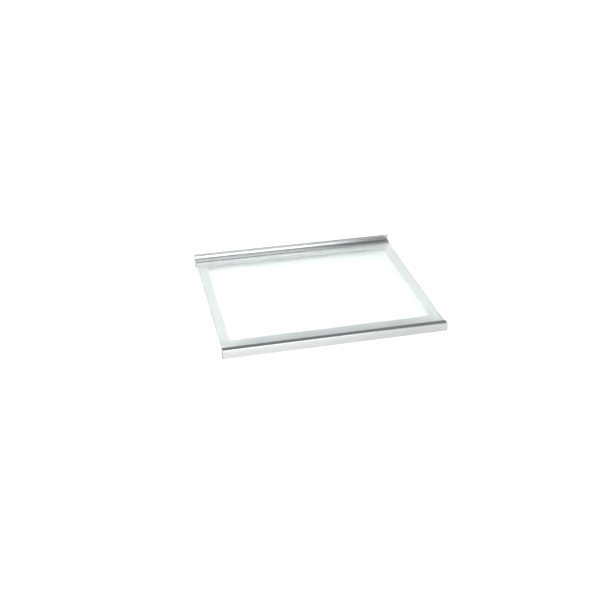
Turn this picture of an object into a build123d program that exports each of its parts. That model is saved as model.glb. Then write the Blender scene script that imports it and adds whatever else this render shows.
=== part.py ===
"""Refrigerator glass shelf: a toughened pane with a fired border, held front and rear in extruded trims.

All sizes are in millimetres. +X points to the user's right, +Y to the back of the cabinet and +Z up.
The origin is under the middle of the shelf, on the plane of the trims' feet.
"""

import os

from build123d import *

# Toughened pane
glass_width = 440.0
glass_depth = 365.0
glass_thickness = 4.0
glass_corner_radius = 4.0
glass_arris = 0.5

# Fired border on the underside of the pane
border_side = 21.0
border_front = 36.0
border_rear = 32.0
border_edge_margin = 1.2
border_thickness = 0.05
window_corner_radius = 4.0

# Soft liners between the pane and the trims
liner_thickness = 0.8
liner_edge_clearance = 0.2
liner_end_inset = 0.5
liner_proud = 0.7
liner_edge_radius = 0.3
liner_groove_count = 3
liner_groove_pitch = 2.2
liner_groove_width = 1.0
liner_groove_depth = 0.3

# Extruded trims
trim_height = 18.5
trim_wall = 1.6
front_lip_reach = 10.5
rear_lip_reach = 14.7
rear_lip_root = 2.3
rear_lip_nose = 1.0
ledge_reach = 12.5
foot_reach = 7.0
upstand_height = 10.0
upstand_thickness = 2.5
front_edge_radius = 1.5
foot_edge_radius = 1.0
lip_nose_radius = 0.8
leg_edge_radius = 0.4
upstand_top_radius = 1.2
cove_radius = 2.0
end_deburr = 0.2

# Moulded end caps, each pushed into its trim with a hollow plug
cap_thickness = 1.5
cap_edge = 0.3
plug_length = 10.0
plug_clearance = 0.1
plug_setback = 0.6
plug_wall = 1.2
plug_corner_radius = 0.6
plug_lead_in = 0.5

# Heights that follow from the stack of lip, liner, pane, border, liner and ledge
lip_underside = trim_height - trim_wall
glass_top = lip_underside - liner_thickness
glass_underside = glass_top - glass_thickness
border_underside = glass_underside - border_thickness
ledge_top = border_underside - liner_thickness
ledge_underside = ledge_top - trim_wall
upstand_top = trim_height + upstand_height
rear_lip_slope = (rear_lip_root - rear_lip_nose) / rear_lip_reach
rear_lip_at_upstand = lip_underside + rear_lip_root - rear_lip_slope * upstand_thickness

# Places that follow from the pane and what grips it
trim_length = glass_width - 2 * cap_thickness
liner_length = trim_length - 2 * liner_end_inset
half_depth = glass_depth / 2 + liner_edge_clearance + liner_thickness + trim_wall
window_width = glass_width - 2 * border_side
window_depth = glass_depth - border_front - border_rear
window_shift = (border_front - border_rear) / 2
plug_inner = trim_wall + plug_clearance
plug_outer = foot_reach - plug_setback
plug_top = ledge_underside - plug_clearance

# The two sides of the shelf, and the most of a wall that one rounded corner may take
FRONT = -1
REAR = 1
wall_share = 0.49


def profile_plane(side, length):
    """The section plane at one end of a trim or liner: x runs inwards from the trim's outer face, y up."""
    return Plane(
        origin=(side * length / 2, side * half_depth, 0),
        x_dir=(0, -side, 0),
        z_dir=(-side, 0, 0),
    )


def round_corner(inwards, height, radius, wall):
    """Rounds the corner of the section being drawn that lies at the given place, within its wall."""
    fillet(vertices().sort_by_distance((inwards, height, 0))[0], min(radius, wall_share * wall))


# Lower part of the section: open behind the wall along the trims, filled in at the end caps
open_hollow = (
    (trim_wall, ledge_underside),
    (trim_wall, trim_wall),
    (foot_reach, trim_wall),
)
filled_hollow = ()


def draw_section(lip_reach, lip_root, lip_nose, hollow):
    """Draws the outer wall with its lip, ledge and foot, round the given shape of the lower hollow."""
    with BuildLine() as outline:
        Polyline(
            (0, 0),
            (0, lip_underside + lip_root),
            (lip_reach, lip_underside + lip_nose),
            (lip_reach, lip_underside),
            (trim_wall, lip_underside),
            (trim_wall, ledge_top),
            (ledge_reach, ledge_top),
            (ledge_reach, ledge_underside),
            *hollow,
            (foot_reach, 0),
            close=True,
        )
    make_face(outline.edges())
    round_corner(lip_reach, lip_underside + lip_nose, lip_nose_radius, lip_nose)
    round_corner(lip_reach, lip_underside, leg_edge_radius, lip_nose)
    for height in (ledge_top, ledge_underside):
        round_corner(ledge_reach, height, leg_edge_radius, trim_wall)
    round_corner(foot_reach, 0, leg_edge_radius, trim_wall)
    round_corner(0, 0, foot_edge_radius, foot_reach)
    if hollow:
        round_corner(foot_reach, trim_wall, leg_edge_radius, trim_wall)


def draw_front(hollow):
    """Draws the front section, whose lip turns into the tall front face."""
    draw_section(front_lip_reach, trim_wall, trim_wall, hollow)
    round_corner(0, trim_height, front_edge_radius, front_lip_reach)


def draw_rear(hollow):
    """Draws the rear section, whose lip slopes down from a coved upstand."""
    draw_section(rear_lip_reach, rear_lip_root, rear_lip_nose, hollow)
    with Locations((0, lip_underside)):
        Rectangle(upstand_thickness, upstand_top - lip_underside, align=Align.MIN)
    round_corner(upstand_thickness, rear_lip_at_upstand, cove_radius, upstand_height)
    for inwards in (0, upstand_thickness):
        round_corner(inwards, upstand_top, upstand_top_radius, upstand_thickness)


def draw_plug():
    """Draws the hollow plug that fits the lower part of a trim."""
    with Locations(((plug_inner + plug_outer) / 2, (plug_inner + plug_top) / 2)):
        RectangleRounded(plug_outer - plug_inner, plug_top - plug_inner, plug_corner_radius)
    offset(amount=-plug_wall, mode=Mode.SUBTRACT)


def soften_cap(side):
    """Breaks the outer edges of the end cap being built and tapers the end of its plug."""
    from_inside_out = Axis((0, 0, 0), (side, 0, 0))
    chamfer(faces().sort_by(from_inside_out)[-1].edges(), cap_edge)
    chamfer(faces().sort_by(from_inside_out)[0].outer_wire().edges(), plug_lead_in)


def draw_liner(lip_reach):
    """Draws a U-shaped liner that fills the channel, with grip grooves on the sides that meet the pane."""
    top_end = lip_reach + liner_proud
    lower_end = ledge_reach + liner_proud
    web_face = trim_wall + liner_thickness
    with BuildLine() as outline:
        Polyline(
            (trim_wall, ledge_top),
            (trim_wall, lip_underside),
            (top_end, lip_underside),
            (top_end, glass_top),
            (web_face, glass_top),
            (web_face, border_underside),
            (lower_end, border_underside),
            (lower_end, ledge_top),
            close=True,
        )
    make_face(outline.edges())
    round_corner(top_end, lip_underside, liner_edge_radius, liner_thickness)
    round_corner(lower_end, ledge_top, liner_edge_radius, liner_thickness)
    grooves_middle = web_face + liner_groove_pitch * liner_groove_count / 2
    upper_grooves = (grooves_middle, glass_top + liner_groove_depth / 2)
    lower_grooves = (grooves_middle, border_underside - liner_groove_depth / 2)
    with Locations(upper_grooves, lower_grooves):
        with GridLocations(liner_groove_pitch, 0, liner_groove_count, 1):
            Rectangle(liner_groove_width, liner_groove_depth, mode=Mode.SUBTRACT)


def deburr_ends():
    """Breaks the sharp saw-cut edges at both ends of the trim being built."""
    cut_ends = faces().filter_by(Axis.X).sort_by(Axis.X)
    chamfer(cut_ends[0].edges() + cut_ends[-1].edges(), end_deburr)


with BuildPart() as glass_pane:
    with BuildSketch(Plane.XY.offset(glass_underside)):
        RectangleRounded(glass_width, glass_depth, glass_corner_radius)
    extrude(amount=glass_thickness)
    chamfer(faces().filter_by(Axis.Z).edges(), glass_arris)

with BuildPart() as printed_border:
    with BuildSketch(Plane.XY.offset(border_underside)):
        RectangleRounded(
            glass_width - 2 * border_edge_margin,
            glass_depth - 2 * border_edge_margin,
            glass_corner_radius - border_edge_margin,
        )
        with Locations((0, window_shift)):
            RectangleRounded(window_width, window_depth, window_corner_radius, mode=Mode.SUBTRACT)
    extrude(amount=border_thickness)

with BuildPart() as front_trim:
    with BuildSketch(profile_plane(FRONT, trim_length)):
        draw_front(open_hollow)
    extrude(amount=trim_length)
    deburr_ends()

with BuildPart() as rear_trim:
    with BuildSketch(profile_plane(REAR, trim_length)):
        draw_rear(open_hollow)
    extrude(amount=trim_length)
    deburr_ends()

with BuildPart() as front_left_cap:
    with BuildSketch(profile_plane(FRONT, glass_width)):
        draw_front(filled_hollow)
    extrude(amount=cap_thickness)
    with BuildSketch(profile_plane(FRONT, trim_length)):
        draw_plug()
    extrude(amount=plug_length)
    soften_cap(FRONT)

with BuildPart() as rear_right_cap:
    with BuildSketch(profile_plane(REAR, glass_width)):
        draw_rear(filled_hollow)
    extrude(amount=cap_thickness)
    with BuildSketch(profile_plane(REAR, trim_length)):
        draw_plug()
    extrude(amount=plug_length)
    soften_cap(REAR)

with BuildPart() as front_right_cap:
    mirror(front_left_cap.part, about=Plane.YZ)

with BuildPart() as rear_left_cap:
    mirror(rear_right_cap.part, about=Plane.YZ)

with BuildPart() as front_liner:
    with BuildSketch(profile_plane(FRONT, liner_length)):
        draw_liner(front_lip_reach)
    extrude(amount=liner_length)

with BuildPart() as rear_liner:
    with BuildSketch(profile_plane(REAR, liner_length)):
        draw_liner(rear_lip_reach)
    extrude(amount=liner_length)

pieces = {
    "glass_pane": glass_pane,
    "printed_border": printed_border,
    "front_trim": front_trim,
    "rear_trim": rear_trim,
    "front_left_cap": front_left_cap,
    "front_right_cap": front_right_cap,
    "rear_left_cap": rear_left_cap,
    "rear_right_cap": rear_right_cap,
    "front_liner": front_liner,
    "rear_liner": rear_liner,
}
os.makedirs("parts", exist_ok=True)
for name, piece in pieces.items():
    piece.part.label = name
    export_step(piece.part, f"parts/{name}.step")
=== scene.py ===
"""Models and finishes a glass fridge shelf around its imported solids, and sets it in a plain studio."""

import math

import bmesh
import bpy
from bpy.props import FloatProperty, FloatVectorProperty, IntProperty, PointerProperty
from mathutils import Matrix, Vector


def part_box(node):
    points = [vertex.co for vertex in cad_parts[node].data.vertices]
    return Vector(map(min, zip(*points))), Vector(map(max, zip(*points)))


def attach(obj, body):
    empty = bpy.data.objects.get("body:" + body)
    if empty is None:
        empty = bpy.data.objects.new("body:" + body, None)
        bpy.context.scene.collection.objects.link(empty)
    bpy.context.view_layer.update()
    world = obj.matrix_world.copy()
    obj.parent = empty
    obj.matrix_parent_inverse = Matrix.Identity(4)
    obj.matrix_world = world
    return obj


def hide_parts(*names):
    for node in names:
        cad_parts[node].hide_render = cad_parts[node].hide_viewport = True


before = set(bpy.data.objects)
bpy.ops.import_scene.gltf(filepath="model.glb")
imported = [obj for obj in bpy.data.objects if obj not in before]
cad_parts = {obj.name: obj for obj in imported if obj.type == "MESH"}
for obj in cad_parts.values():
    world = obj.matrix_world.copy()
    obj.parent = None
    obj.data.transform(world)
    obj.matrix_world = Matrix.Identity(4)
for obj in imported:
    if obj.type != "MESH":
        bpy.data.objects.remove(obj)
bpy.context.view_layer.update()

bl_info = {
    "name": "Glass Fridge Shelf",
    "version": (1, 0, 0),
    "blender": (4, 5, 0),
    "location": "3D View > Sidebar > Shelf",
    "description": "Models a glass fridge shelf with bright edge trims and a fired border",
    "category": "Object",
}

BODY = "root"
MM = 0.001
SAME_PLACE = 0.02 * MM
SMOOTH_ANGLE = math.radians(30)
FLAT_ANGLE = math.radians(1)
GLASS_IOR = 1.52

# How much of a face's normal points along an axis when the face counts as facing that way, or as level
FACING = 0.9
LEVEL = 0.99

# Where the fired enamel changes, in metres from the middle of the shelf, including where its painted shade
# along the front and its painted light along the rear lie
SHADED_FRONT = (0.13, 0.155)
SHADE_FADE_SIDES = (0.15, 0.225)
THIN_REAR = (0.1, 0.15)
# Painted light: the enamel is painted paler along the rear, against the shade of the rear trim
PAINTED_LIGHT_REAR = (0.12, 0.155)

# How much of the painted shade along the front is lost towards the sides
SIDE_SHADE_LOSS = 0.7

# Where the walls and the ceiling of the studio fade in, as parts of a direction of length one
BEHIND = (0.3, 0.6)
SIDES = (0.5, 0.85)
CEILING = (0.79, 0.87)
CEILING_BEHIND = 0.2
CEILING_LEAN = 0.35
FOOT_TOP = 0.36
FOOT_FADE = 0.12

GLASS_LOW, GLASS_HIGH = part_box("glass_pane")
BORDER_LOW, BORDER_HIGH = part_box("printed_border")
FRONT_LOW, FRONT_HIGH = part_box("front_trim")
REAR_LOW, REAR_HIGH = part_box("rear_trim")
CHANNEL_LOW, CHANNEL_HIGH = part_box("front_liner")


def length(name, description, default):
    """A size that a user may change, in metres."""
    return FloatProperty(name=name, description=description, default=default, unit="LENGTH", precision=5)


def colour(name, description, default):
    """A surface colour that a user may change, in linear light."""
    return FloatVectorProperty(
        name=name, description=description, default=default, size=3, min=0.0, max=1.0, subtype="COLOR"
    )


def share(name, description, default):
    """A plain number from nought to one."""
    return FloatProperty(
        name=name, description=description, default=default, min=0.0, max=1.0, subtype="FACTOR"
    )


def angle(name, description, degrees):
    """An angle that a user may change."""
    return FloatProperty(name=name, description=description, default=math.radians(degrees), subtype="ANGLE")


def point(name, description, default):
    """A place in the studio, in metres."""
    return FloatVectorProperty(
        name=name, description=description, default=default, size=3, subtype="TRANSLATION", unit="LENGTH"
    )


def brightness(name, description, default):
    """How bright a wall is, or how strong a far light."""
    return FloatProperty(name=name, description=description, default=default, min=0.0)


def power(name, description, default):
    """What a lamp gives out, in watts."""
    return FloatProperty(name=name, description=description, default=default, min=0.0, unit="POWER")


class ShelfSizes(bpy.types.PropertyGroup):
    """Sizes of the pane, its border and the two trims."""

    trim_wall: length("Trim wall", "Wall of both extrusions", CHANNEL_LOW.y - FRONT_LOW.y)
    lip_underside: length("Lip underside", "Height of the channel's upper side", CHANNEL_HIGH.z)
    ledge_top: length("Ledge top", "Height of the channel's lower side", CHANNEL_LOW.z)
    trim_height: length("Trim height", "Foot to top of lip", FRONT_HIGH.z)
    front_lip_reach: length("Front lip reach", "Front face to the lip's edge", 10.5 * MM)
    rear_lip_reach: length("Rear lip reach", "Rear face to the lip's edge", REAR_HIGH.y - REAR_LOW.y)
    rear_lip_root: length("Rear lip root", "Thickness of the sloping rear lip at the rear face", 2.3 * MM)
    rear_lip_nose: length("Rear lip nose", "Thickness of the sloping rear lip at its edge", 1.0 * MM)
    ledge_reach: length("Ledge reach", "Outer face to the ledge's edge", FRONT_HIGH.y - FRONT_LOW.y)
    foot_reach: length("Foot reach", "Outer face to the foot's edge", 7.0 * MM)
    upstand_thickness: length("Upstand thickness", "Wall of the rear upstand", 2.5 * MM)
    front_edge_radius: length("Front edge radius", "Where the lip turns into the front face", 1.5 * MM)
    foot_edge_radius: length("Foot edge radius", "Where the outer face turns into the foot", 1.0 * MM)
    front_nose_radius: length("Front nose radius", "Upper edge of the front lip, on the glass", 0.78 * MM)
    rear_nose_radius: length("Rear nose radius", "Upper edge of the rear lip, on the glass", 0.49 * MM)
    leg_edge_radius: length("Leg edge radius", "Other free edges of lip, ledge and foot", 0.4 * MM)
    upstand_top_radius: length("Upstand top radius", "Both top edges of the upstand", 0.5 * MM)
    cove_reach: length("Cove reach", "How far the cove runs out on the lip and up the upstand", 1.83 * MM)
    end_deburr: length("End deburr", "Broken edges at the cut ends", 0.2 * MM)
    glass_corner_radius: length("Glass corner radius", "Corners of the pane", 4.0 * MM)
    glass_arris: length("Glass arris", "Ground bevel along the pane's edges", 0.5 * MM)
    border_side: length("Side border", "Edge of the pane to the clear window", 21.0 * MM)
    border_front: length("Front border", "Edge of the pane to the clear window", 36.0 * MM)
    border_rear: length("Rear border", "Edge of the pane to the clear window", 32.0 * MM)
    window_corner_radius: length("Window corner radius", "Corners of the clear window", 4.0 * MM)
    print_gap: length("Print gap", "Keeps the border's faces off the pane's own", 0.02 * MM)
    arc_steps: IntProperty(
        name="Arc steps", description="Faces along each rounded edge", default=6, min=2, max=16
    )


class ShelfColours(bpy.types.PropertyGroup):
    """Colours and gloss of the shelf's surfaces."""

    metal: colour("Trim metal", "Satin bright aluminium", (0.518, 0.528, 0.528))
    metal_roughness: share("Trim roughness", "Mean roughness of the satin finish", 0.16)
    enamel: colour("Border", "Pale cool grey fired enamel", (0.62, 0.625, 0.628))
    enamel_cover: share("Border cover", "How much of the border hides what is under it", 0.44)
    # Painted light: a paler enamel along the rear that lifts the shade cast by the rear trim
    enamel_rear_painted_light: colour("Rear border", "The paler enamel along the rear", (0.76, 0.765, 0.765))
    # Painted shade: the darker enamel along the front, and how much more it hides there, stand in for the
    # shade that falls under the front trim
    enamel_front_shade: colour("Thick border", "The enamel that lies thicker along the front", (0.43, 0.435, 0.437))
    enamel_front_shade_cover: share("Thick cover", "How much the border hides where it lies thicker", 0.62)
    enamel_thinning: share("Thin rear", "How much less the border hides along the rear", 0.12)
    glass: colour("Glass", "Tint of a single face of the pane", (0.997, 1.0, 0.999))
    glass_light: colour("Glass light", "Lamplight that passes each face of the pane", (0.74, 0.75, 0.747))
    enamel_light: colour("Border light", "Lamplight that passes each face of the border", (1.0, 1.0, 1.0))
    glass_edge: colour("Glass edge", "Frosted ground edge of the pane", (0.84, 0.87, 0.86))
    glass_depth: colour("Glass depth", "What thick glass lets through", (0.30, 0.78, 0.62))
    cap: colour("End cap", "Grey moulded plastic", (0.33, 0.335, 0.34))
    liner: colour("Liner", "Grey soft glazing liner", (0.2, 0.205, 0.21))


class ShelfStage(bpy.types.PropertyGroup):
    """The studio: camera, floor and light."""

    azimuth: angle("Azimuth", "Camera's turn from the front", -13.79)
    elevation: angle("Elevation", "Camera's height angle", 30.6)
    roll: angle("Roll", "Camera's lean", 0.43)
    distance: length("Distance", "Camera to the point it looks at", 1.8054)
    target: point("Target", "Point in the middle of the picture", (-0.0368, -0.0345, 0.0161))
    lens: FloatProperty(name="Lens", description="Focal length on a 36 mm frame", default=53.8, unit="CAMERA")
    floor_size: length("Floor size", "Side of the square floor", 14.0)
    floor: colour("Floor", "Plain pale floor", (0.9, 0.9, 0.9))
    floor_roughness: share("Floor roughness", "How far the floor is from a mirror", 0.3)
    room: brightness("Room", "Brightness of the room all round", 0.45)
    room_back: brightness("Room behind", "Brightness of the wall behind", 0.3)
    room_foot: brightness("Foot of wall", "Brightness low on the wall behind", 1.1)
    room_sides: brightness("Room sides", "Extra brightness of both side walls", 0.3)
    room_lean: brightness("Room lean", "How much brighter the left wall is", 0.12)
    ceiling: brightness("Ceiling", "Brightness of the ceiling", 1.0)
    sun: brightness("Sun", "Strength of the soft light from the front left", 1.4)
    sun_place: point("Sun place", "Where the soft light comes from", (-0.6, -0.75, 0.9))
    sun_spread: angle("Sun spread", "How wide the soft light looks", 30)
    key: power("Key", "Power of the softbox on the left", 3.6)
    key_place: point("Key place", "Where the softbox hangs", (-0.95, -0.35, 0.75))
    key_size: length("Key size", "Side of the softbox", 0.4)
    window: power("Window", "Power of the large window in front", 62.0)
    window_place: point("Window place", "Middle of the window", (-0.115, -2.9, 1.385))
    window_width: length("Window width", "Across the window", 2.17)
    window_height: length("Window height", "From the window's sill to its top", 2.07)
    back: brightness("Back", "Strength of the light from behind on the right", 1.05)
    back_place: point("Back place", "Where the light behind comes from", (0.9, 0.98, 0.97))
    back_spread: angle("Back spread", "How wide the light behind looks", 9)


class Wire:
    """A shader value that takes part in Python expressions by adding Math nodes."""

    def __init__(self, nodes, socket):
        self.nodes = nodes
        self.socket = socket

    def maths(self, operation, *others):
        """Adds a Math node whose first input is this value."""
        return self.nodes.add("ShaderNodeMath", {"operation": operation}, dict(enumerate((self, *others))))

    def __add__(self, other):
        return self.maths("ADD", other)

    def __sub__(self, other):
        return self.maths("SUBTRACT", other)

    def __rsub__(self, other):
        return self.nodes.add("ShaderNodeMath", {"operation": "SUBTRACT"}, {0: other, 1: self})

    def __mul__(self, other):
        return self.maths("MULTIPLY", other)

    __radd__ = __add__
    __rmul__ = __mul__

    def __abs__(self):
        return self.maths("ABSOLUTE")

    def smooth_step(self, start, end):
        """Rises softly from nought at start to one at end."""
        return self.nodes.add(
            "ShaderNodeMapRange",
            {"interpolation_type": "SMOOTHSTEP"},
            {"Value": self, "From Min": start, "From Max": end},
        )


class Nodes:
    """A node tree that is filled one node at a time."""

    def __init__(self, owner):
        owner.use_nodes = True
        self.tree = owner.node_tree
        self.tree.nodes.clear()

    def add(self, kind, settings=None, sockets=None, output=0):
        """Adds a node, sets it up, fills or links its sockets, and gives back one of its outputs."""
        node = self.tree.nodes.new(kind)
        for name, value in (settings or {}).items():
            setattr(node, name, value)
        for name, value in (sockets or {}).items():
            if isinstance(value, Wire):
                self.tree.links.new(value.socket, node.inputs[name])
            else:
                node.inputs[name].default_value = value
        return Wire(self, node.outputs[output]) if len(node.outputs) else None

    def place(self, scale=(1.0, 1.0, 1.0)):
        """The piece's own coordinates, in metres, stretched by scale."""
        at = self.add("ShaderNodeTexCoord", output="Object")
        return self.add("ShaderNodeMapping", sockets={"Vector": at, "Scale": scale})

    def noise(self, scale, detail):
        """Noise from nought to one whose grain has the given scale along each axis, per metre."""
        sockets = {"Vector": self.place(scale), "Scale": 1.0, "Detail": detail}
        return self.add("ShaderNodeTexNoise", sockets=sockets)

    def axes(self, vector=None):
        """The three parts of a vector, by default of the piece's own coordinates."""
        first = self.add("ShaderNodeSeparateXYZ", sockets={"Vector": vector or self.place()})
        return [Wire(self, socket) for socket in first.socket.node.outputs]

    def blend(self, factor, first, second):
        """A colour between two others."""
        sockets = {"Factor": factor, 6: first, 7: second}
        return self.add("ShaderNodeMix", {"data_type": "RGBA"}, sockets, output=2)

    def vary(self, factor, tint, darker, lighter):
        """A colour that runs from a darker to a lighter shade of a plain one."""
        return self.blend(factor, shaded(tint, darker), shaded(tint, lighter))

    def bump(self, height, distance):
        """A normal that follows height, in metres."""
        return self.add("ShaderNodeBump", sockets={"Height": height, "Distance": distance, "Strength": 1.0})

    def surface(self, shader, **others):
        """Ends the tree with the shader of the surface."""
        self.add("ShaderNodeOutputMaterial", sockets={"Surface": shader, **others})


def shaded(tint, factor):
    """A plain colour made darker or lighter by a factor, with a fourth part for a socket."""
    return (*(min(1.0, part * factor) for part in tint), 1.0)


def trim_metal(colours):
    """Satin bright aluminium with drawing lines along the extrusion."""
    material = bpy.data.materials.new("trim_metal_satin")
    nodes = Nodes(material)
    fine_lines = nodes.noise((6.0, 2600.0, 2600.0), detail=4.0)
    die_lines = nodes.noise((0.8, 420.0, 420.0), detail=2.0)
    clouds = nodes.noise((22.0, 60.0, 60.0), detail=3.0)
    grain = fine_lines * 0.6 + die_lines * 0.4
    tone = nodes.vary(grain, colours.metal, 0.93, 1.07)
    mean_lines = 0.105
    level = colours.metal_roughness - mean_lines
    roughness = fine_lines * 0.10 + die_lines * 0.06 + clouds * 0.05 + level
    shader = nodes.add(
        "ShaderNodeBsdfPrincipled",
        sockets={
            "Base Color": tone,
            "Metallic": 1.0,
            "Roughness": roughness,
            "Normal": nodes.bump(grain, 0.004 * MM),
        },
    )
    nodes.surface(shader)
    return material


def lit_through(nodes, shader, tint):
    """Lets lamplight pass a shader with the given tint, so that it casts only a faint shadow."""
    lamp_rays = nodes.add("ShaderNodeLightPath", output="Is Shadow Ray")
    open_way = nodes.add("ShaderNodeBsdfTransparent", sockets={"Color": (*tint, 1.0)})
    return nodes.add("ShaderNodeMixShader", sockets={0: lamp_rays, 1: shader, 2: open_way})


def clear_glass(colours):
    """Clear toughened glass, green in its depth."""
    material = bpy.data.materials.new("clear_glass")
    nodes = Nodes(material)
    smears = nodes.noise((30.0, 14.0, 30.0), detail=4.0)
    shader = nodes.add(
        "ShaderNodeBsdfPrincipled",
        sockets={
            "Base Color": (*colours.glass, 1.0),
            "Roughness": smears * 0.012,
            "IOR": GLASS_IOR,
            "Transmission Weight": 1.0,
        },
    )
    inside = {"Color": (*colours.glass_depth, 1.0), "Density": 9.0}
    depth = nodes.add("ShaderNodeVolumeAbsorption", sockets=inside)
    nodes.surface(lit_through(nodes, shader, colours.glass_light), Volume=depth)
    return material


def ground_glass(colours):
    """The frosted surface that grinding leaves along the edges of the pane."""
    material = bpy.data.materials.new("ground_glass")
    nodes = Nodes(material)
    wheel_marks = nodes.noise((500.0, 500.0, 4000.0), detail=2.0)
    grit = nodes.noise((3000.0, 3000.0, 3000.0), detail=2.0)
    tone = nodes.vary(wheel_marks, colours.glass_edge, 0.95, 1.05)
    shader = nodes.add(
        "ShaderNodeBsdfPrincipled",
        sockets={
            "Base Color": tone,
            "Roughness": grit * 0.2 + 0.4,
            "IOR": GLASS_IOR,
            "Transmission Weight": 0.2,
            "Normal": nodes.bump(wheel_marks, 0.01 * MM),
        },
    )
    nodes.surface(shader)
    return material


def fired_enamel(colours):
    """Screen-printed enamel that light partly gets through, with painted shade along the front, where it is
    darker and hides more, and painted light along the rear, where it is paler.
    """
    material = bpy.data.materials.new("fired_enamel")
    nodes = Nodes(material)
    across, along, _ = nodes.axes()
    mesh_marks = nodes.noise((1800.0, 1800.0, 1800.0), detail=1.0)
    clouds = nodes.noise((35.0, 35.0, 35.0), detail=4.0)
    # Painted shade along the front: darker, denser enamel that fades towards the open sides, in place of the
    # shade under the front trim
    in_middle = 1 - abs(across).smooth_step(*SHADE_FADE_SIDES) * SIDE_SHADE_LOSS
    thickness = (0 - along).smooth_step(*SHADED_FRONT) * in_middle
    mottle = mesh_marks * 0.4 + clouds * 0.6
    thin = nodes.vary(mottle, colours.enamel, 0.96, 1.04)
    # The painted shade colour of the front band
    thick = nodes.vary(mottle, colours.enamel_front_shade, 0.96, 1.04)
    # Painted light: the paler colour along the rear
    rear = nodes.vary(mottle, colours.enamel_rear_painted_light, 0.96, 1.04)
    # Mixes painted light along the rear and painted shade along the front into the enamel's own mottled tone
    tone = nodes.blend(thickness, nodes.blend(along.smooth_step(*PAINTED_LIGHT_REAR), thin, rear), thick)
    # The painted shade along the front also hides more of the floor
    front_shade_cover = thickness * (colours.enamel_front_shade_cover - colours.enamel_cover)
    thinning = along.smooth_step(*THIN_REAR) * colours.enamel_thinning
    mean_marks = 0.06
    cover = front_shade_cover - thinning + (colours.enamel_cover - mean_marks)
    shader = nodes.add(
        "ShaderNodeBsdfPrincipled",
        sockets={
            "Base Color": tone,
            "Roughness": clouds * 0.12 + 0.32,
            "Alpha": mesh_marks * 0.06 + clouds * 0.06 + cover,
            "Normal": nodes.bump(mesh_marks, 0.01 * MM),
        },
    )
    nodes.surface(lit_through(nodes, shader, colours.enamel_light))
    return material


def soft_liner(colours):
    """Grey flexible plastic, faintly grained."""
    material = bpy.data.materials.new("soft_liner")
    nodes = Nodes(material)
    grain = nodes.noise((900.0, 2500.0, 2500.0), detail=3.0)
    bloom = nodes.noise((40.0, 200.0, 200.0), detail=3.0)
    tone = nodes.vary(bloom, colours.liner, 0.8, 1.35)
    shader = nodes.add(
        "ShaderNodeBsdfPrincipled",
        sockets={
            "Base Color": tone,
            "Roughness": grain * 0.2 + 0.45,
            "Normal": nodes.bump(grain, 0.02 * MM),
        },
    )
    nodes.surface(shader)
    return material


def moulded_plastic(colours):
    """Grey moulded plastic with a fine matt texture."""
    material = bpy.data.materials.new("moulded_plastic")
    nodes = Nodes(material)
    texture = nodes.noise((2200.0, 2200.0, 2200.0), detail=2.0)
    flow = nodes.noise((60.0, 90.0, 160.0), detail=3.0)
    tone = nodes.vary(flow, colours.cap, 0.93, 1.07)
    shader = nodes.add(
        "ShaderNodeBsdfPrincipled",
        sockets={
            "Base Color": tone,
            "Roughness": texture * 0.16 + flow * 0.06 + 0.4,
            "Normal": nodes.bump(texture, 0.02 * MM),
        },
    )
    nodes.surface(shader)
    return material


def pale_floor(stage):
    """Plain floor with a soft sheen."""
    material = bpy.data.materials.new("pale_floor")
    nodes = Nodes(material)
    finish = {"Base Color": (*stage.floor, 1.0), "Roughness": stage.floor_roughness}
    shader = nodes.add("ShaderNodeBsdfPrincipled", sockets=finish)
    nodes.surface(shader)
    return material


def start_box(name, low, high):
    """Adds a box between two corners as a new piece, ready for editing."""
    bpy.ops.object.select_all(action="DESELECT")
    bpy.ops.mesh.primitive_cube_add(size=1.0, location=(low + high) / 2, scale=high - low)
    bpy.ops.object.transform_apply(location=True, rotation=True, scale=True)
    piece = bpy.context.active_object
    piece.name = name
    piece.data.name = name
    bpy.ops.object.mode_set(mode="EDIT")
    return piece


def select_faces(piece, test):
    """Selects the faces whose middle and normal pass the test."""
    bpy.ops.mesh.select_mode(type="FACE")
    bpy.ops.mesh.select_all(action="DESELECT")
    mesh = bmesh.from_edit_mesh(piece.data)
    for face in mesh.faces:
        face.select_set(test(face.calc_center_median(), face.normal))
    bmesh.update_edit_mesh(piece.data)


def select_edges(piece, test):
    """Selects the edges whose two ends pass the test."""
    bpy.ops.mesh.select_mode(type="EDGE")
    bpy.ops.mesh.select_all(action="DESELECT")
    mesh = bmesh.from_edit_mesh(piece.data)
    for edge in mesh.edges:
        edge.select_set(all(test(end.co) for end in edge.verts))
    bmesh.update_edit_mesh(piece.data)


def cut(piece, place, normal, test=lambda at, facing: True):
    """Cuts the faces that pass the test along a plane."""
    select_faces(piece, test)
    bpy.ops.mesh.bisect(plane_co=place, plane_no=normal)


def pull(piece, test, way):
    """Extrudes the faces that pass the test."""
    select_faces(piece, test)
    bpy.ops.mesh.extrude_region_move(TRANSFORM_OT_translate={"value": way})


def bevel_selected(width, steps):
    """Rounds or breaks the selected edges."""
    bpy.ops.mesh.bevel(
        offset=width, offset_type="OFFSET", segments=steps, profile=0.5, affect="EDGES", clamp_overlap=False
    )


def finish_piece(piece, node, material):
    """Leaves edit mode and hands the piece to the frame in place of its plain solid."""
    bpy.ops.object.mode_set(mode="OBJECT")
    bpy.ops.object.shade_smooth_by_angle(angle=SMOOTH_ANGLE)
    bpy.ops.object.modifier_add(type="WEIGHTED_NORMAL")
    piece.modifiers[0].keep_sharp = True
    bpy.ops.object.modifier_apply(modifier=piece.modifiers[0].name)
    piece.data.materials.clear()
    piece.data.materials.append(material)
    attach(piece, BODY)
    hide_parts(node)


def finish_node(node, material):
    """Gives a solid that stays in view its material."""
    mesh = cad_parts[node].data
    mesh.materials.clear()
    mesh.materials.append(material)


def near(value, place):
    """Whether two coordinates are the same place."""
    return abs(value - place) < SAME_PLACE


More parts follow.
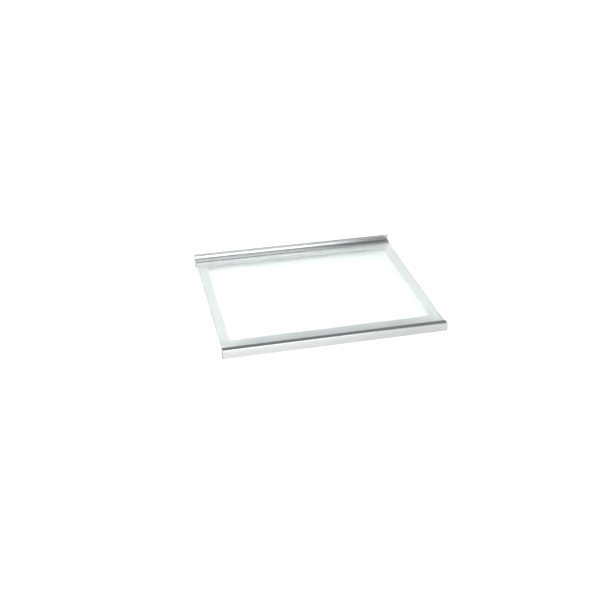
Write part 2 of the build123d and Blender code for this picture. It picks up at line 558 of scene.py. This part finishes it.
class TrimBar:
    """One extruded trim, modelled inwards from its outer face."""

    def __init__(self, name, low, high, outer, inward, sizes):
        self.name = name
        self.sizes = sizes
        self.outer = outer
        self.inward = inward
        self.half_length = high.x - sizes.end_deburr
        self.foot = low.z
        self.ledge_underside = sizes.ledge_top - sizes.trim_wall

    def at(self, reach):
        """The place along Y that lies so far inwards from the outer face."""
        return self.outer + self.inward * reach

    def wall(self, top):
        """Starts the bar with its outer wall."""
        sides = (self.outer, self.at(self.sizes.trim_wall))
        low = Vector((-self.half_length, min(sides), self.foot))
        high = Vector((self.half_length, max(sides), top))
        self.piece = start_box(self.name, low, high)

    def legs(self, lip_reach, lip_top):
        """Cuts the wall and pulls out the lip, the ledge and the foot."""
        sizes = self.sizes
        for height in (sizes.trim_wall, self.ledge_underside, sizes.ledge_top, sizes.lip_underside):
            cut(self.piece, (0, 0, height), (0, 0, 1))
        for low, high, reach in (
            (self.foot, sizes.trim_wall, sizes.foot_reach),
            (self.ledge_underside, sizes.ledge_top, sizes.ledge_reach),
            (sizes.lip_underside, lip_top, lip_reach),
        ):
            way = Vector((0, self.inward * (reach - sizes.trim_wall), 0))
            pull(self.piece, lambda at, facing: facing.y * self.inward > FACING and low < at.z < high, way)

    def lower_nose(self, lip_reach, lip_top, drop):
        """Slopes the lip by lowering the top of its edge."""
        place = self.at(lip_reach)
        select_edges(self.piece, lambda end: near(end.y, place) and near(end.z, lip_top))
        bpy.ops.transform.translate(value=(0, 0, -drop))

    def upstand(self, top):
        """Cuts a strip along the back of the lip and pulls it up to a level top."""
        underside = self.sizes.lip_underside
        face = self.at(self.sizes.upstand_thickness)
        cut(self.piece, (0, face, 0), (0, 1, 0), lambda at, facing: at.z > underside - SAME_PLACE)
        pull(
            self.piece,
            lambda at, facing: facing.z > FACING and at.z > underside and (at.y - face) * self.inward < 0,
            Vector((0, 0, top - underside)),
        )
        bpy.ops.transform.resize(value=(1, 1, 0), center_override=(0, 0, top))

    def join_flats(self):
        """Joins the faces that the cuts left in one plane."""
        bpy.ops.mesh.select_all(action="SELECT")
        bpy.ops.mesh.dissolve_limited(angle_limit=FLAT_ANGLE)

    def round(self, reach, height, radius):
        """Rounds the edge along the trim at the given section point."""
        place = self.at(reach)
        select_edges(self.piece, lambda end: near(end.y, place) and near(end.z, height))
        bevel_selected(radius, self.sizes.arc_steps)

    def round_legs(self, lip_reach, lip_nose, nose_radius):
        """Rounds the free edges of lip, ledge and foot."""
        sizes = self.sizes
        small = sizes.leg_edge_radius
        for reach, height, radius in (
            (lip_reach, sizes.lip_underside + lip_nose, nose_radius),
            (lip_reach, sizes.lip_underside, small),
            (sizes.ledge_reach, sizes.ledge_top, small),
            (sizes.ledge_reach, self.ledge_underside, small),
            (sizes.foot_reach, sizes.trim_wall, small),
            (sizes.foot_reach, self.foot, small),
            (0.0, self.foot, sizes.foot_edge_radius),
        ):
            self.round(reach, height, radius)

    def deburr(self):
        """Draws both ends out to full length with a broken edge all round."""
        select_faces(self.piece, lambda at, facing: near(abs(at.x), self.half_length))
        bpy.ops.mesh.inset(thickness=self.sizes.end_deburr, depth=self.sizes.end_deburr)


class SHELF_OT_front_trim(bpy.types.Operator):
    """Models the front trim: lip, front face, channel and foot"""

    bl_idname = "shelf.front_trim"
    bl_label = "Front Trim"

    def execute(self, context):
        sizes = context.scene.shelf_sizes
        bar = TrimBar("front_trim_bar", FRONT_LOW, FRONT_HIGH, FRONT_LOW.y, 1, sizes)
        bar.wall(sizes.trim_height)
        bar.legs(sizes.front_lip_reach, sizes.trim_height)
        bar.join_flats()
        bar.round_legs(sizes.front_lip_reach, sizes.trim_wall, sizes.front_nose_radius)
        bar.round(0.0, sizes.trim_height, sizes.front_edge_radius)
        bar.deburr()
        finish_piece(bar.piece, "front_trim", trim_metal(context.scene.shelf_colours))
        return {"FINISHED"}


class SHELF_OT_rear_trim(bpy.types.Operator):
    """Models the rear trim: lip, upstand, channel and foot"""

    bl_idname = "shelf.rear_trim"
    bl_label = "Rear Trim"

    def execute(self, context):
        sizes = context.scene.shelf_sizes
        reach = sizes.rear_lip_reach
        slope = (sizes.rear_lip_root - sizes.rear_lip_nose) / reach
        root_top = sizes.lip_underside + sizes.rear_lip_root
        lip_top = root_top - slope * sizes.trim_wall
        corner = root_top - slope * sizes.upstand_thickness
        bar = TrimBar("rear_trim_bar", REAR_LOW, REAR_HIGH, REAR_HIGH.y, -1, sizes)
        bar.wall(lip_top)
        bar.legs(reach, lip_top)
        bar.lower_nose(reach, lip_top, lip_top - sizes.lip_underside - sizes.rear_lip_nose)
        bar.upstand(REAR_HIGH.z)
        bar.join_flats()
        bar.round_legs(reach, sizes.rear_lip_nose, sizes.rear_nose_radius)
        bar.round(sizes.upstand_thickness, corner, sizes.cove_reach)
        for inwards in (0.0, sizes.upstand_thickness):
            bar.round(inwards, REAR_HIGH.z, sizes.upstand_top_radius)
        bar.deburr()
        finish_piece(bar.piece, "rear_trim", trim_metal(context.scene.shelf_colours))
        return {"FINISHED"}


class SHELF_OT_pane(bpy.types.Operator):
    """Models the toughened pane with rounded corners and ground edges"""

    bl_idname = "shelf.pane"
    bl_label = "Glass Pane"

    def execute(self, context):
        sizes = context.scene.shelf_sizes
        piece = start_box("glass_sheet", GLASS_LOW, GLASS_HIGH)
        corners = [(x, y) for x in (GLASS_LOW.x, GLASS_HIGH.x) for y in (GLASS_LOW.y, GLASS_HIGH.y)]
        for x, y in corners:
            select_edges(piece, lambda end: near(end.x, x) and near(end.y, y))
            bevel_selected(sizes.glass_corner_radius, 2 * sizes.arc_steps)
        for height in (GLASS_LOW.z, GLASS_HIGH.z):
            select_edges(piece, lambda end: near(end.z, height))
            bevel_selected(sizes.glass_arris, 1)
        finish_piece(piece, "glass_pane", clear_glass(context.scene.shelf_colours))
        piece.data.materials.append(ground_glass(context.scene.shelf_colours))
        bpy.ops.object.mode_set(mode="EDIT")
        select_faces(piece, lambda at, facing: abs(facing.z) < LEVEL)
        piece.active_material_index = 1
        bpy.ops.object.material_slot_assign()
        bpy.ops.object.mode_set(mode="OBJECT")
        return {"FINISHED"}


class SHELF_OT_border(bpy.types.Operator):
    """Models the fired border as a thin frame under the pane"""

    bl_idname = "shelf.border"
    bl_label = "Fired Border"

    def outline(self, low, high, height, radius, steps):
        """Adds a rounded rectangle of edges to the mesh being edited."""
        middle = Vector(((low.x + high.x) / 2, (low.y + high.y) / 2, height))
        bpy.ops.mesh.primitive_plane_add(size=1.0, location=middle)
        bpy.ops.transform.resize(value=(high.x - low.x, high.y - low.y, 1.0), center_override=middle)
        bpy.ops.mesh.bevel(offset=radius, segments=steps, profile=0.5, affect="VERTICES")
        bpy.ops.mesh.delete(type="ONLY_FACE")
        bpy.ops.mesh.select_all(action="DESELECT")

    def execute(self, context):
        sizes = context.scene.shelf_sizes
        top = GLASS_LOW.z - sizes.print_gap
        steps = 2 * sizes.arc_steps
        margin = BORDER_LOW.x - GLASS_LOW.x
        window_low = Vector((GLASS_LOW.x + sizes.border_side, GLASS_LOW.y + sizes.border_front, 0))
        window_high = Vector((GLASS_HIGH.x - sizes.border_side, GLASS_HIGH.y - sizes.border_rear, 0))
        piece = start_box("enamel_border", BORDER_LOW, BORDER_HIGH)
        bpy.ops.mesh.select_all(action="SELECT")
        bpy.ops.mesh.delete(type="VERT")
        self.outline(BORDER_LOW, BORDER_HIGH, top, sizes.glass_corner_radius - margin, steps)
        self.outline(window_low, window_high, top, sizes.window_corner_radius, steps)
        bpy.ops.mesh.select_mode(type="EDGE")
        bpy.ops.mesh.select_all(action="SELECT")
        bpy.ops.mesh.bridge_edge_loops()
        bpy.ops.mesh.select_all(action="SELECT")
        bpy.ops.mesh.normals_make_consistent(inside=False)
        bpy.ops.mesh.extrude_region_move(TRANSFORM_OT_translate={"value": (0, 0, BORDER_LOW.z - top)})
        bpy.ops.mesh.select_all(action="SELECT")
        bpy.ops.mesh.normals_make_consistent(inside=False)
        finish_piece(piece, "printed_border", fired_enamel(context.scene.shelf_colours))
        return {"FINISHED"}


class SHELF_OT_liners(bpy.types.Operator):
    """Finishes the two soft liners, which keep their own solids"""

    bl_idname = "shelf.liners"
    bl_label = "Liners"

    def execute(self, context):
        material = soft_liner(context.scene.shelf_colours)
        for node in ("front_liner", "rear_liner"):
            finish_node(node, material)
        return {"FINISHED"}


class SHELF_OT_caps(bpy.types.Operator):
    """Finishes the four end caps, which keep their own solids"""

    bl_idname = "shelf.caps"
    bl_label = "End Caps"

    def execute(self, context):
        material = moulded_plastic(context.scene.shelf_colours)
        for node in ("front_left_cap", "front_right_cap", "rear_left_cap", "rear_right_cap"):
            finish_node(node, material)
        return {"FINISHED"}


class SHELF_OT_stage(bpy.types.Operator):
    """Sets up the floor, the light and the camera"""

    bl_idname = "shelf.stage"
    bl_label = "Studio"

    def floor(self, stage):
        """Lays the floor under the shelf."""
        bpy.ops.object.select_all(action="DESELECT")
        bpy.ops.mesh.primitive_plane_add(size=stage.floor_size, location=(0, 0, 0))
        floor = bpy.context.active_object
        floor.name = "studio_floor"
        floor.data.materials.append(pale_floor(stage))

    def room(self, stage):
        """A soft room with a bright ceiling and a wall behind that is dark above its foot."""
        world = bpy.data.worlds.new("soft_room")
        bpy.context.scene.world = world
        nodes = Nodes(world)
        across, along, up = nodes.axes(nodes.add("ShaderNodeTexCoord", output="Generated"))
        backwards = along.smooth_step(*BEHIND)
        ceiling = (up + backwards * CEILING_BEHIND - across * CEILING_LEAN).smooth_step(*CEILING)
        sides = abs(across).smooth_step(*SIDES) * stage.room_sides
        bright = stage.room + sides - across * stage.room_lean
        foot = (FOOT_TOP - up).smooth_step(0.0, FOOT_FADE)
        behind = stage.room_back + foot * (stage.room_foot - stage.room_back)
        walls = bright + backwards * (behind - bright)
        strength = walls + ceiling * (stage.ceiling - walls)
        room = nodes.add("ShaderNodeBackground", sockets={"Color": (1, 1, 1, 1), "Strength": strength})
        plain = nodes.add("ShaderNodeBackground", sockets={"Color": (1, 1, 1, 1), "Strength": 1.0})
        seen = nodes.add("ShaderNodeLightPath", output="Is Camera Ray")
        mixed = nodes.add("ShaderNodeMixShader", sockets={0: seen, 1: room, 2: plain})
        nodes.add("ShaderNodeOutputWorld", sockets={"Surface": mixed})

    def hang(self, data, place, aim):
        """Hangs a lamp at a place, turned to what it lights."""
        lamp = bpy.data.objects.new(data.name, data)
        lamp.location = place
        lamp.rotation_euler = (aim - lamp.location).to_track_quat("-Z", "Y").to_euler()
        bpy.context.scene.collection.objects.link(lamp)
        return lamp

    def far_light(self, name, strength, place, spread):
        """Adds a light from far off that comes from the side of a place."""
        data = bpy.data.lights.new(name, "SUN")
        data.energy = strength
        data.angle = spread
        self.hang(data, place, Vector())

    def panel_light(self, name, watts, size, place, aim):
        """Adds a rectangular lamp."""
        data = bpy.data.lights.new(name, "AREA")
        data.shape = "RECTANGLE"
        data.size, data.size_y = size
        data.energy = watts
        return self.hang(data, place, aim)

    def spare(self, lamp, piece):
        """Keeps a lamp's light off one piece."""
        spared = bpy.data.collections.new(f"spared_by_{lamp.name}")
        spared.objects.link(piece)
        spared.collection_objects[0].light_linking.link_state = "EXCLUDE"
        lamp.light_linking.receiver_collection = spared

    def lights(self, stage):
        """Lights the shelf from the front left, the left, the front and behind."""
        self.far_light("soft_sun", stage.sun, stage.sun_place, stage.sun_spread)
        key_size = (stage.key_size, stage.key_size)
        self.panel_light("left_softbox", stage.key, key_size, stage.key_place, Vector())
        window_size = (stage.window_width, stage.window_height)
        straight_on = Vector((stage.window_place.x, 0.0, stage.window_place.z))
        window = self.panel_light("front_window", stage.window, window_size, stage.window_place, straight_on)
        self.spare(window, bpy.data.objects["glass_sheet"])
        self.far_light("back_sun", stage.back, stage.back_place, stage.back_spread)

    def camera(self, stage):
        """Sets up the camera at the picture's angle."""
        turn, rise = stage.azimuth, stage.elevation
        back = Vector((math.sin(turn) * math.cos(rise), -math.cos(turn) * math.cos(rise), math.sin(rise)))
        level = Vector((0, 0, 1)).cross(back).normalized()
        raised = back.cross(level)
        right = math.cos(stage.roll) * level + math.sin(stage.roll) * raised
        above = math.cos(stage.roll) * raised - math.sin(stage.roll) * level
        place = Vector(stage.target) + back * stage.distance
        lens = bpy.data.cameras.new("photo_camera")
        lens.lens = stage.lens
        lens.sensor_width = 36.0
        camera = bpy.data.objects.new("photo_camera", lens)
        camera.matrix_world = Matrix.Translation(place) @ Matrix((right, above, back)).transposed().to_4x4()
        bpy.context.scene.collection.objects.link(camera)
        bpy.context.scene.camera = camera

    def execute(self, context):
        stage = context.scene.shelf_stage
        self.floor(stage)
        self.room(stage)
        self.lights(stage)
        self.camera(stage)
        context.scene.view_settings.view_transform = "Standard"
        return {"FINISHED"}


class SHELF_PT_panel(bpy.types.Panel):
    """Lists the steps of the shelf and its sizes"""

    bl_idname = "SHELF_PT_panel"
    bl_label = "Glass Fridge Shelf"
    bl_space_type = "VIEW_3D"
    bl_region_type = "UI"
    bl_category = "Shelf"

    def draw(self, context):
        for step in STEPS:
            self.layout.operator(step.bl_idname)
        for group in (context.scene.shelf_sizes, context.scene.shelf_colours, context.scene.shelf_stage):
            box = self.layout.box()
            for name in group.__annotations__:
                box.prop(group, name)


STEPS = (
    SHELF_OT_front_trim,
    SHELF_OT_rear_trim,
    SHELF_OT_pane,
    SHELF_OT_border,
    SHELF_OT_liners,
    SHELF_OT_caps,
    SHELF_OT_stage,
)
CLASSES = (ShelfSizes, ShelfColours, ShelfStage, *STEPS, SHELF_PT_panel)


def register():
    """Makes the operators, settings and panel known."""
    for entry in CLASSES:
        bpy.utils.register_class(entry)
    bpy.types.Scene.shelf_sizes = PointerProperty(type=ShelfSizes)
    bpy.types.Scene.shelf_colours = PointerProperty(type=ShelfColours)
    bpy.types.Scene.shelf_stage = PointerProperty(type=ShelfStage)


def unregister():
    """Takes them away again."""
    del bpy.types.Scene.shelf_stage
    del bpy.types.Scene.shelf_colours
    del bpy.types.Scene.shelf_sizes
    for entry in reversed(CLASSES):
        bpy.utils.unregister_class(entry)


def main():
    """Builds the shelf and its studio."""
    register()
    bpy.ops.shelf.front_trim()
    bpy.ops.shelf.rear_trim()
    bpy.ops.shelf.pane()
    bpy.ops.shelf.border()
    bpy.ops.shelf.liners()
    bpy.ops.shelf.caps()
    bpy.ops.shelf.stage()


if __name__ == "__main__":
    main()
